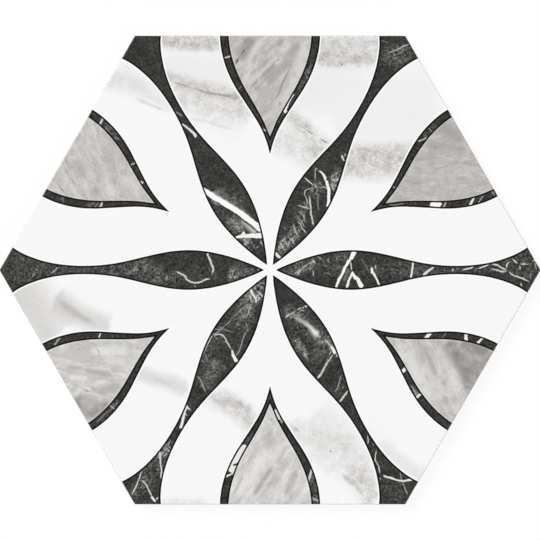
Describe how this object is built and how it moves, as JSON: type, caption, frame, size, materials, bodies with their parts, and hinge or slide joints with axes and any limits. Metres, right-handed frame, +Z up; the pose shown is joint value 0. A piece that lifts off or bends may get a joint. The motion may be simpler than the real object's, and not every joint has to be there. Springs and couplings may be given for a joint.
{
  "type": "hexagonal floor tile",
  "caption": "Flat hexagonal glazed porcelain floor tile with a printed marble rosette face, rounded arris and a ribbed honeycomb back for adhesive.",
  "frame": {"origin": "centre of the back, in the plane of the ribs that the tile lies on", "axes": "+Z up out of the printed face, +X towards a corner of the hexagon, +Y towards a flat"},
  "size_m": [0.3288, 0.285, 0.0095],
  "materials": {
    "glazed_porcelain": "satin-gloss glaze over a printed black, grey and white marble pattern"
  },
  "bodies": {
    "root": {"hexagon_tile": "glazed_porcelain"}
  },
  "joints": []
}
